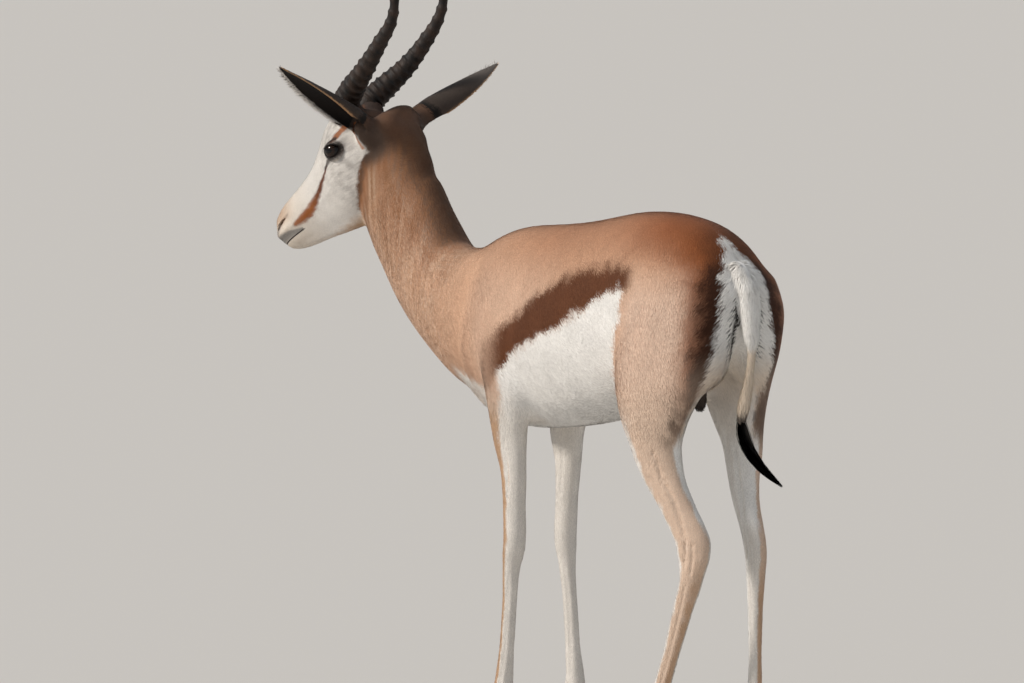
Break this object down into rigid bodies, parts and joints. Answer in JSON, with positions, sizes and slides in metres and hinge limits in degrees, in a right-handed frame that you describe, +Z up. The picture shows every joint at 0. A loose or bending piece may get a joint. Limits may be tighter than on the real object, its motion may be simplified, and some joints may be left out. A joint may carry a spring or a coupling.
{
  "type": "springbok",
  "caption": "Life-size young springbok ram standing still on four slender legs, head turned left, with ringed horns, lance-shaped ears and a white tail ending in a black tuft.",
  "frame": {"origin": "on the floor under the middle of the whole animal's bounding box", "axes": "+Z up, the body points along -Y, and +X is the animal's own left"},
  "size_m": [0.3644, 1.0691, 1.113],
  "materials": {
    "coat": "short sleek fawn hair with a dark brown flank stripe and white belly",
    "face_coat": "very short white hair with a brown stripe from eye to mouth",
    "ear": "thin ear leather with fine short hair",
    "white_coat": "white hair",
    "leg_coat": "very short pale hair",
    "black_hair": "long coarse black hair",
    "horn": "dark ringed horn, satin",
    "hoof": "dark smooth hoof horn",
    "eye": "wet, nearly black brown eye"
  },
  "bodies": {
    "root": {"torso": "coat", "neck": "coat", "head": "face_coat", "ear_left": "ear", "ear_right": "ear", "horn_left": "horn", "horn_right": "horn", "eye_left": "eye", "eye_right": "eye", "tail": "white_coat", "tail_tuft": "black_hair", "foreleg_left_upper": "coat", "foreleg_left_lower": "leg_coat", "foreleg_left_claw_inner": "hoof", "foreleg_left_claw_outer": "hoof", "foreleg_right_upper": "coat", "foreleg_right_lower": "leg_coat", "foreleg_right_claw_inner": "hoof", "foreleg_right_claw_outer": "hoof", "hindleg_left_upper": "coat", "hindleg_left_lower": "leg_coat", "hindleg_left_claw_inner": "hoof", "hindleg_left_claw_outer": "hoof", "hindleg_right_upper": "coat", "hindleg_right_lower": "leg_coat", "hindleg_right_claw_inner": "hoof", "hindleg_right_claw_outer": "hoof"}
  },
  "joints": []
}
